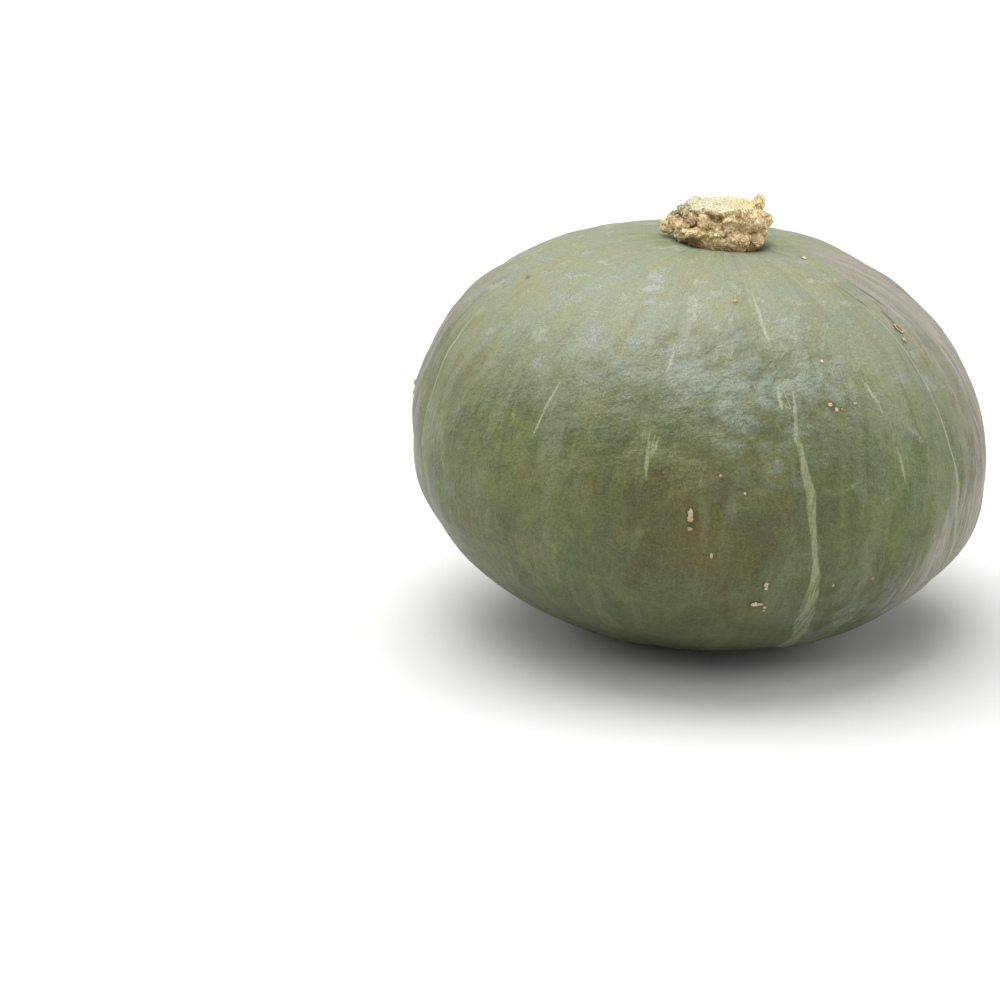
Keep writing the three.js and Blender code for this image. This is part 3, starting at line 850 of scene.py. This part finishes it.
# %% The specks' finish
scab, scab_shader, start, where = new_finish("speck_cork")
crumb = where.cloud(0.5, 3.0, 0.7)
colour = start.plain("B89C7B")
colour = colour.layered(
    (where.cloud(9).between(0.4, 0.6), "CDBBA0"),
    (crumb.between(0.52, 0.36) * 0.8, "76583B"),
)
start.feed(scab_shader.inputs["Base Color"], colour)
scab_shader.inputs["Roughness"].default_value = 0.8
rind_specks.data.materials.append(scab)
print("speck cork has", len(scab.node_tree.nodes), "nodes")

# %% [markdown]
# ## The stem, modelled as a field of distances
# A kabocha's stem dries to knobbly cork. Joined balls would meet in hard seams, so the stem is made
# as clay is: every knob is a field of distances to its surface, and a soft union melts each knob
# into the next. Noise then eats into the field. OpenVDB, which comes with Blender, turns the field
# into a mesh. The drum, collar and main knobs are the same as those of the solid.

# %% Driving dimensions of the stem
COLLAR = [(12.7, -3), (13.9, 0.6), (13.5, 3), (11.7, 4.2)]
DRUM = [(11.4, 0), (11.9, 6.7), (12, 10.6), (11.6, 14.6)]
DRUM_LEAN = math.radians(-10)
CUT_FACE = ((-9.3, 0.4, 23.4), (30, 30, 12))
PITH = ((-1.4, -2.4, 11.8), (1.6, 1.2, 1.7))
HORN = ((10.7, 0.6, 13.9), (2.4, 2.4, 3.0))
KNOBS = [
    ((-18.1, -1.0, 4.1), (2.6, 2.6, 2.5)), ((-15.6, -2.4, 6.2), (3.2, 3.2, 2.9)),
    ((-12.6, -1.5, 10.0), (2.9, 5.2, 3.4)), ((-13.2, -7.0, 5.4), (3.1, 3.2, 3.2)),
    ((-11.4, -7.8, 9.0), (2.8, 2.6, 2.4)), ((-6.6, -9.8, 8.2), (3.4, 2.8, 2.6)),
    ((-8.8, -11.0, 4.3), (5.2, 2.5, 2.0)), ((-2.6, -11.6, 4.9), (3.2, 2.4, 2.0)),
    ((0.9, -10.7, 8.1), (3.0, 3.1, 3.9)), ((2.8, -11.4, 4.2), (2.7, 2.6, 2.4)),
    ((7.2, -7.0, 9.2), (5.3, 4.7, 4.7)), ((12.3, -2.4, 8.8), (2.6, 3.9, 3.9)),
    ((6.6, -10.4, 3.9), (2.8, 2.6, 2.2)), ((10.4, -7.6, 3.4), (3.2, 3.2, 2.4)),
    ((9.4, 1.0, 10.8), (3.2, 3.4, 2.6)), ((-8.0, -7.0, 11.6), (5.0, 3.4, 1.6)),
    ((-1.4, -8.6, 11.7), (5.0, 3.0, 1.4)), ((-12.6, -5.0, 2.0), (3.4, 4.2, 2.4)),
]
BACK_KNOBS = {"first": 66, "last": 276, "per_row": 9, "ring_radius": 11.4, "rows": (4.2, 9.2), "radius": 3.3}
PLAY = {"azimuth": 9, "radius": 1.6, "height": 1.8, "size": 1.4, "seed": 20571}


def seeded_plays(seed):
    """The same even draws as the solid model makes, each centred on 0 and as wide as asked."""
    state = seed
    while True:
        state = state * 48271 % 2147483647
        yield state / 2147483647 - 0.5


def back_knobs():
    """The two rows of knobs round the back of the stem."""
    draws = seeded_plays(PLAY["seed"])
    step = (BACK_KNOBS["last"] - BACK_KNOBS["first"]) / (BACK_KNOBS["per_row"] - 1)
    knobs = []
    for row, row_height in enumerate(BACK_KNOBS["rows"]):
        for i in range(BACK_KNOBS["per_row"]):
            place = BACK_KNOBS["first"] + step * (i + 0.5 * row) + PLAY["azimuth"] * next(draws)
            x, y = on_circle(place, BACK_KNOBS["ring_radius"] + PLAY["radius"] * next(draws))
            z = row_height + PLAY["height"] * next(draws)
            radii = [BACK_KNOBS["radius"] + PLAY["size"] * next(draws) for _ in range(3)]
            knobs.append(((x, y, z), tuple(radii)))
    return knobs


print(len(KNOBS), "knobs in front and", len(back_knobs()), "behind")

# %% The field's cells
CELL = 0.25
FIELD_LOW = np.array([-22.0, -16.0, -2.6])
FIELD_HIGH = np.array([17.5, 17.5, 17.4])

counts = np.ceil((FIELD_HIGH - FIELD_LOW) / CELL).astype(int) + 1
axes = [FIELD_LOW[k] + CELL * np.arange(counts[k]) for k in range(3)]
cells = np.stack(np.meshgrid(*axes, indexing="ij"), axis=-1).reshape(-1, 3).astype(np.float32)


def ball(centre, radii):
    """The distance of each cell to a rounded lump, less than 0 inside it."""
    offset = cells - np.array(centre, np.float32)
    scaled = offset / np.array(radii, np.float32)
    away = np.linalg.norm(scaled, axis=1)
    slope = np.linalg.norm(scaled / np.array(radii, np.float32), axis=1)
    return away * (away - 1) / np.maximum(slope, 1e-6)


def turned(profile, lean=0.0):
    """The distance of each cell to a body turned about Z, or about an axis that leans."""
    x = cells[:, 0] * math.cos(lean) - cells[:, 2] * math.sin(lean)
    z = cells[:, 0] * math.sin(lean) + cells[:, 2] * math.cos(lean)
    radii, heights = zip(*profile)
    side = np.hypot(x, cells[:, 1]) - np.interp(z, heights, radii)
    return np.maximum(side, z - heights[-1])


def melt(one, other, width):
    """Two bodies joined, with the seam between them filled over a width."""
    overlap = np.maximum(width - np.abs(one - other), 0) / width
    return np.minimum(one, other) - overlap**2 * width / 4


print("field of", counts, "cells")

# %% [markdown]
# ## Knobs on knobs
# The big knobs carry smaller ones, and those are pitted in turn. A seeded scatter puts small lumps
# on the big ones, and some more on the top. The cut face is a shallow dish, where the knife left the pale
# inside of the stem open, with one deep pit where the pith dried out.

# %% Build the field
SMALL_LUMPS = 460
LUMP_RADII = (0.5, 1.2)
LUMP_SINK = 0.6
LUMP_MARGIN = 1.5
BAND = 2.0
NO_SECOND = 9
TOP_LUMPS = {"count": 46, "low": (1.5, -7.5, 11.0), "high": (9.5, 8, 11.9), "radii": (0.8, 1.5)}
SEAM = {"knob": 1.1, "lump": 0.4, "cut": 0.4}
GAP = {"depth": 0.45, "width": 0.35}
RECESS = ((-3.4, -10.8, 10.2), (2.8, 2.2, 1.1))
PUSH_LENGTHS = {5.2: 0.7, 2.1: 0.32}
PIT_LENGTHS = {1.0: 0.2}
BILLOWS = {3.4: 0.75, 1.5: 0.5}
BILLOW_LIFT = 0.55
CUT_ROUGHNESS = {1.8: 0.3, 0.8: 0.15}
HORN_ROUGHNESS = 0.4

true_cells = cells
pushed = cells.copy()
for push_length, reach in PUSH_LENGTHS.items():
    for axis in range(3):
        pushed[:, axis] += reach * noise(true_cells, push_length, 51 + axis)
cells = pushed

nearest = turned(DRUM, DRUM_LEAN)
second = np.full(len(cells), NO_SECOND, np.float32)
field = melt(nearest, turned(COLLAR), SEAM["knob"])
big_knobs = KNOBS + back_knobs()
for centre, radii in big_knobs:
    knob = ball(centre, radii)
    second = np.minimum(second, np.maximum(nearest, knob))
    nearest = np.minimum(nearest, knob)
    field = melt(field, knob, SEAM["knob"])
field += GAP["depth"] * np.exp(-(second - nearest) / GAP["width"])
print("knobs melted")


def add_lump(field, spot, size):
    """Melts one small round lump into the field."""
    spot = np.array(spot, np.float32)
    box = np.all(np.abs(cells - spot) < size + LUMP_MARGIN, axis=1)
    lump = np.linalg.norm(cells[box] - spot, axis=1) - size
    field[box] = melt(field[box], lump, SEAM["lump"])


scatter = np.random.default_rng(31)
for _ in range(SMALL_LUMPS):
    centre, radii = big_knobs[scatter.integers(len(big_knobs))]
    direction = scatter.normal(size=3)
    direction /= np.linalg.norm(direction)
    size = scatter.uniform(*LUMP_RADII)
    add_lump(field, np.array(centre) + direction * (np.array(radii) - LUMP_SINK * size), size)

# %% Cut, pit and crease it
field = -melt(-field, ball(*RECESS), SEAM["cut"])
dish = ball(*CUT_FACE)
band = np.abs(field) < BAND
close = true_cells[band]
eaten = sum(rise * (0.5 + 0.5 * noise(close, length, 41)) for length, rise in PIT_LENGTHS.items())
for length, depth in BILLOWS.items():
    eaten += depth * (1 - np.sqrt(np.abs(noise(pushed[band], (length, length, 0.8 * length), 44))))
field[band] += eaten - BILLOW_LIFT
for length, roughness in CUT_ROUGHNESS.items():
    dish[band] += roughness * noise(close, length, 45)

field = -melt(-field, dish, SEAM["cut"])
for _ in range(TOP_LUMPS["count"]):
    spot = scatter.uniform(TOP_LUMPS["low"], TOP_LUMPS["high"])
    add_lump(field, spot, scatter.uniform(*TOP_LUMPS["radii"]))
horn = ball(*HORN) + HORN_ROUGHNESS * (0.4 + noise(pushed, 1.6, 47))
field = melt(field, horn, SEAM["lump"])
field = -melt(-field, ball(*PITH), SEAM["cut"])
cells = true_cells
field = np.maximum(field, FIELD_LOW[2] + 1.0 - cells[:, 2])
print("field spans", field.min().round(1), "to", field.max().round(1), "mm")

# %% Turn the field into a mesh
import openvdb

block = field.reshape(counts).astype(np.float32)
grid = openvdb.FloatGrid(float(block.max()))
grid.copyFromArray(block)
grid.transform = openvdb.createLinearTransform(voxelSize=CELL)
stem_points, stem_quads = grid.convertToQuads(isovalue=0.0)
stem_points = np.array(stem_points) + FIELD_LOW
print("stem has", len(stem_points), "points and", len(stem_quads), "quads")

# %% [markdown]
# ## Place the stem and note its creases
# The cork is painted paler where it stands out, as painted highlight, and browner down in its creases,
# as painted shade. The field knows which is which: its average over a small cube is lower in a crease,
# where more of the cube is inside the cork.
# That average is stored for the shader, with the open cut face and each point's place in the stem.

# %% Place the stem
BLUR_REACH = 5
FINE_REACH = 2
OPEN_FACE = {"depth": 0.45, "end": 3.5, "fade": 2}


def averaged(values, reach):
    """The values averaged over a cube of cells round each one."""
    for axis in range(3):
        shifted = [np.roll(values, step, axis) for step in range(-reach, reach + 1)]
        values = np.mean(shifted, axis=0)
    return values


def sampled(values, points):
    """The values of the cells nearest to some points."""
    at = np.rint((points - FIELD_LOW) / CELL).astype(int)
    at = np.clip(at, 0, counts - 1)
    return values[at[:, 0], at[:, 1], at[:, 2]]


crease = -sampled(averaged(block, BLUR_REACH), stem_points)
fine_crease = -sampled(averaged(block, FINE_REACH), stem_points)
cut_open = np.exp(-((sampled(dish.reshape(counts), stem_points) / OPEN_FACE["depth"]) ** 2))
cut_open *= np.clip((OPEN_FACE["end"] - stem_points[:, 0]) / OPEN_FACE["fade"], 0, 1)
stem_place = girth_middle + turn @ np.array([0, 0, CROWN["rise"] - STEM_HOLLOW["depth"]])
stem_top = (stem_points @ turn.T)[:, 2].max()
stem_fit = min(1, (cad_box[1].z / MM - stem_place[2]) / stem_top)
stem_cork = make_piece("stem_cork", stem_points @ turn.T * stem_fit + stem_place, stem_quads.tolist())
store(stem_cork, "crease", crease)
store(stem_cork, "fine_crease", fine_crease)
store(stem_cork, "cut_open", cut_open)
store(stem_cork, "stem_frame", stem_points)
print("stem foot at", stem_place.round(2), "fit", stem_fit)
for name, values in (("crease", crease), ("fine crease", fine_crease)):
    print(name, np.percentile(values, [2, 25, 50, 75, 98]).round(2))

# %% The cork
cork, cork_shader, start, where = new_finish("dry_cork")
patchy = where.cloud(3.2, 3.0, 0.6)
crumb = where.cloud(0.9, 3.0, 0.7)
dust = where.cloud(0.35, 2.0, 0.7)
fold = abs(where.stretched((1, 1, 0.7)).cloud(2.2, 2.0, 0.6) - 0.5)
fine_fold = abs(where.stretched((1, 1, 0.7)).cloud(1.1, 2.0, 0.6) - 0.5)
depth = start.stored("crease") + 0.5 * (crumb - 0.5)
fine_depth = start.stored("fine_crease") + 0.25 * (crumb - 0.5)

colour = start.plain("F4DEAC")
colour = colour.layered(
    (patchy.between(0.4, 0.65) * 0.5, "E7C68C"),
    (crumb.between(0.5, 0.7) * 0.5, "F0E1BA"),
    # painted highlight on the ridges, and painted shade along the folds and down in the creases
    (fine_depth.between(-0.1, -0.4) * 0.7, "F6EBCB"),
    (fold.between(0.05, 0.0) * 0.4, "AE8750"),
    (fine_fold.between(0.05, 0.0) * 0.3, "AE8750"),
    (depth.between(0.6, 1.4) * 0.45, "B58D52"),
    (fine_depth.between(0.1, 0.4) * 0.85, "80592B"),
)
open_face = start.stored("cut_open") * (0.5 + 0.5 * patchy.between(0.3, 0.5))
colour = colour.blend(open_face * fine_depth.between(0.3, 0.0), "DAD4B2")
in_stem = start.stored("stem_frame", "Vector")
across = start.node("SeparateXYZ", None, {0: in_stem})
mouldy = (across + 6 * patchy).between(-3, -10)
colour = colour.blend(open_face * crumb.between(0.5, 0.62) * (0.25 + 0.75 * mouldy), "85835F")
above = start.node("SeparateXYZ", None, {0: in_stem}, 2)
mould = across.between(-10.5, -13) * above.between(6.5, 9) * (patchy + crumb).between(0.85, 1.05)
colour = colour.layered(
    (mould * 0.8, "6C6C55"),
    ((above + 1.6 * crumb).between(3.4, 1.4) * 0.6, "93694C"),
)
start.feed(cork_shader.inputs["Base Color"], colour)
start.feed(cork_shader.inputs["Roughness"], 0.8 + 0.15 * crumb)
cork_height = crumb * 0.45 + dust * 0.15 + fold.between(0, 0.07) * 0.4 + fine_fold.between(0, 0.07) * 0.25
bump = start.node("Bump", None, {"Strength": 1.0, "Distance": MM, "Height": cork_height}, "Normal")
start.feed(cork_shader.inputs["Normal"], bump)
stem_cork.data.materials.append(cork)
print("cork has", len(cork.node_tree.nodes), "nodes")

# %% Hand the pieces to the frame
for piece, slot in ((fruit_skin, "rind"), (stem_cork, "cork"), (rind_specks, "cork")):
    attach(piece, "root")
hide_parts("fruit")
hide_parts("stem")
print("fruit_skin, stem_cork and rind_specks ride on the root")

# %% [markdown]
# ## Floor, light and camera
# The squash stands on a plain pale floor in soft, even studio light, brightest from above. The
# camera looks down on it by 17 degrees from 1.2 m away. The squash sits right of the middle of the
# picture, so the camera itself is moved to the left, and its lens stays straight.

# %% The floor
FLOOR_HALF = 4000
FLOOR_DROP = 0.1

corners = [(x * FLOOR_HALF, y * FLOOR_HALF, -FLOOR_DROP) for x, y in ((-1, -1), (1, -1), (1, 1), (-1, 1))]
floor = make_piece("floor", corners, [(0, 1, 2, 3)])
floor_finish, floor_shader, *_ = new_finish("pale_floor")
floor_shader.inputs["Base Color"].default_value = paint("CFCFCD")
floor_shader.inputs["Roughness"].default_value = 0.9
floor.data.materials.append(floor_finish)
print("floor", 2 * FLOOR_HALF * MM, "m across")

# %% The light
SURROUND_STRENGTH = 0.44
LIT_POINT = (0, 0, 0.06)
SOFTBOXES = {
    "overhead": {"side": 3.2, "power": 142, "place": (-0.4, 0.4, 3.0)},
    "left_rim": {"side": 1.3, "power": 12, "place": (-1.7, 0.7, 0.7)},
    "right_rim": {"side": 1.3, "power": 12, "place": (1.7, 0.2, 0.6)},
    "front": {"side": 1.4, "power": 22, "place": (-0.3, -2.0, 2.2)},
}

world = bpy.data.worlds.new("white_surround")
world.use_nodes = True
world.node_tree.nodes["Background"].inputs["Color"].default_value = (1, 1, 1, 1)
world.node_tree.nodes["Background"].inputs["Strength"].default_value = SURROUND_STRENGTH
bpy.context.scene.world = world


def aim(thing, place, target):
    """Puts a light or a camera at a place, looking at a target."""
    thing.location = place
    thing.rotation_euler = (Vector(target) - Vector(place)).to_track_quat("-Z", "Y").to_euler()


def make_softbox(name, side, power, place):
    """A square panel of soft light, aimed at the middle of the squash."""
    data = bpy.data.lights.new(name, "AREA")
    data.shape = "SQUARE"
    data.size = side
    data.energy = power
    softbox = bpy.data.objects.new(name, data)
    bpy.context.scene.collection.objects.link(softbox)
    aim(softbox, place, LIT_POINT)


for name, softbox in SOFTBOXES.items():
    make_softbox(name, **softbox)
bpy.context.scene.view_settings.view_transform = "Standard"
print(len(SOFTBOXES), "softboxes and a white surround")

# %% The camera
CAMERA = {"elevation": math.radians(17), "distance": 1200, "aim_left": 65.06, "aim_down": 21.2}
PICTURE_SIDE = 1000
FOCAL_PIXELS = 3650
SENSOR_WIDTH = 36

forward = np.array([0, math.cos(CAMERA["elevation"]), -math.sin(CAMERA["elevation"])])
upward = np.array([0, math.sin(CAMERA["elevation"]), math.cos(CAMERA["elevation"])])
target = girth_middle - np.array([CAMERA["aim_left"], 0, 0]) - CAMERA["aim_down"] * upward
camera_data = bpy.data.cameras.new("camera")
camera_data.sensor_width = SENSOR_WIDTH
camera_data.lens = FOCAL_PIXELS / PICTURE_SIDE * SENSOR_WIDTH
camera = bpy.data.objects.new("camera", camera_data)
bpy.context.scene.collection.objects.link(camera)
aim(camera, (target - CAMERA["distance"] * forward) * MM, target * MM)
bpy.context.scene.camera = camera
print("camera at", camera.location, "lens", camera_data.lens)
